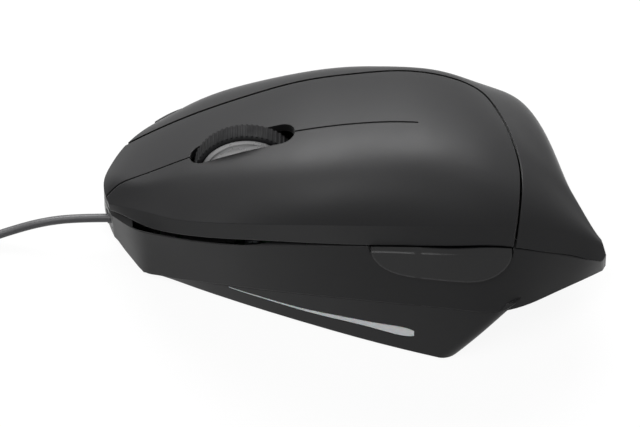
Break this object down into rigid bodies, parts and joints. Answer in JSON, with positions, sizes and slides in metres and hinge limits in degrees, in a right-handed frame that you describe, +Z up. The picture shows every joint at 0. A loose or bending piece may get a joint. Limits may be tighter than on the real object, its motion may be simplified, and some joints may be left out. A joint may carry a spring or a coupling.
{
  "type": "ergonomic mouse",
  "caption": "Right-handed ergonomic mouse with a tilted petal top split into buttons, a scroll wheel, a thumb button, a wedge base with a light strip and a coiled cable.",
  "frame": {"origin": "middle of the body's footprint, on the surface the glide feet stand on; the cable and its plug are left out of the footprint", "axes": "+Z up, +Y to the nose where the cable leaves, +X to the far side away from the thumb"},
  "size_m": [0.0915, 0.2009, 0.0399],
  "materials": {
    "shell_dark": "matte, fine texture",
    "button_gloss": "gloss",
    "base_dark": "matte",
    "light_guide": "satin, translucent",
    "lamp_white": "satin",
    "circuit_board": "solder mask",
    "slick_pad": "slick",
    "screw_steel": "zinc plated",
    "clear_lens": "clear",
    "chip_black": "moulded",
    "connector_white": "moulded",
    "switch_black": "moulded",
    "switch_plunger": "moulded",
    "wheel_rubber": "finely ribbed",
    "hub_pale": "silver paint",
    "axle_steel": "ground",
    "carrier_grey": "moulded",
    "cable_jacket": "smooth jacket",
    "wire_cover": "insulation",
    "tie_black": "moulded",
    "plug_metal": "nickel plated",
    "contact_gold": "gold plated"
  },
  "bodies": {
    "body": {"side_shell": "shell_dark", "rear_shell": "shell_dark", "top_cover": "shell_dark", "base_tray": "base_dark", "light_strip": "light_guide", "strip_lamp": "lamp_white", "strip_board": "circuit_board", "glide_feet": "slick_pad", "case_screws": "screw_steel", "lens": "clear_lens", "main_board": "circuit_board", "board_screws": "screw_steel", "sensor_chip": "chip_black", "sensor_lamp": "lamp_white", "controller_chip": "chip_black", "small_parts": "chip_black", "cable_connector": "connector_white", "left_switch_case": "switch_black", "right_switch_case": "switch_black", "wheel_switch_case": "switch_black", "thumb_switch_case": "switch_black", "thumb_board": "circuit_board", "carrier_pin": "axle_steel", "strain_relief": "cable_jacket", "inner_wires": "wire_cover", "cable": "cable_jacket", "cable_coil": "cable_jacket", "cable_tail": "cable_jacket", "cable_tie": "tie_black", "plug_grip": "cable_jacket", "plug_shell": "plug_metal", "plug_tongue": "connector_white", "plug_contacts": "contact_gold"},
    "left_panel": {"left_button": "shell_dark"},
    "right_panel": {"right_button": "shell_dark"},
    "left_plunger": {"left_switch_plunger": "switch_plunger"},
    "right_plunger": {"right_switch_plunger": "switch_plunger"},
    "carrier": {"wheel_carrier": "carrier_grey", "encoder": "switch_black"},
    "wheel": {"wheel_tyre": "wheel_rubber", "wheel_hub": "hub_pale", "wheel_axle": "axle_steel"},
    "wheel_plunger": {"wheel_switch_plunger": "switch_plunger"},
    "thumb_key": {"thumb_button": "button_gloss"},
    "thumb_plunger": {"thumb_switch_plunger": "switch_plunger"}
  },
  "joints": [
    {"name": "left_button_press", "type": "hinge", "parent": "body", "child": "left_panel", "pos_m": [0.00293, -0.0151, 0.029], "axis": [-1, 0, 0], "range_deg": [0, 0.573], "stiffness_Nm_per_rad": 6},
    {"name": "right_button_press", "type": "hinge", "parent": "body", "child": "right_panel", "pos_m": [0.01693, -0.0151, 0.024], "axis": [-1, 0, 0], "range_deg": [0, 0.573], "stiffness_Nm_per_rad": 6},
    {"name": "left_plunger_travel", "type": "slide", "parent": "body", "child": "left_plunger", "axis": [0, 0, -1], "range_m": [0, 0.0006]},
    {"name": "right_plunger_travel", "type": "slide", "parent": "body", "child": "right_plunger", "axis": [0, 0, -1], "range_m": [0, 0.0006]},
    {"name": "wheel_click", "type": "hinge", "parent": "body", "child": "carrier", "pos_m": [0.0019, 0.0066, 0.01691], "axis": [-0.8988, 0, 0.4384], "range_deg": [0, 0.75], "stiffness_Nm_per_rad": 6},
    {"name": "wheel_spin", "type": "hinge", "parent": "carrier", "child": "wheel", "pos_m": [0.00453, 0.0256, 0.0223], "axis": [0.8988, 0, -0.4384], "continuous": true},
    {"name": "wheel_plunger_travel", "type": "slide", "parent": "body", "child": "wheel_plunger", "axis": [0, 0, -1], "range_m": [0, 0.0006]},
    {"name": "thumb_button_press", "type": "slide", "parent": "body", "child": "thumb_key", "axis": [0.8339, 0, -0.552], "range_m": [0, 0.0006], "stiffness_N_per_m": 2000},
    {"name": "thumb_plunger_travel", "type": "slide", "parent": "body", "child": "thumb_plunger", "axis": [0.8339, 0, -0.552], "range_m": [0, 0.0006]}
  ],
  "couplings": [
    {"joint": "left_plunger_travel", "follows": "left_button_press", "m_per_rad": 0.05},
    {"joint": "right_plunger_travel", "follows": "right_button_press", "m_per_rad": 0.05},
    {"joint": "wheel_plunger_travel", "follows": "wheel_click", "m_per_rad": 0.031},
    {"joint": "thumb_plunger_travel", "follows": "thumb_button_press", "ratio": 1}
  ]
}
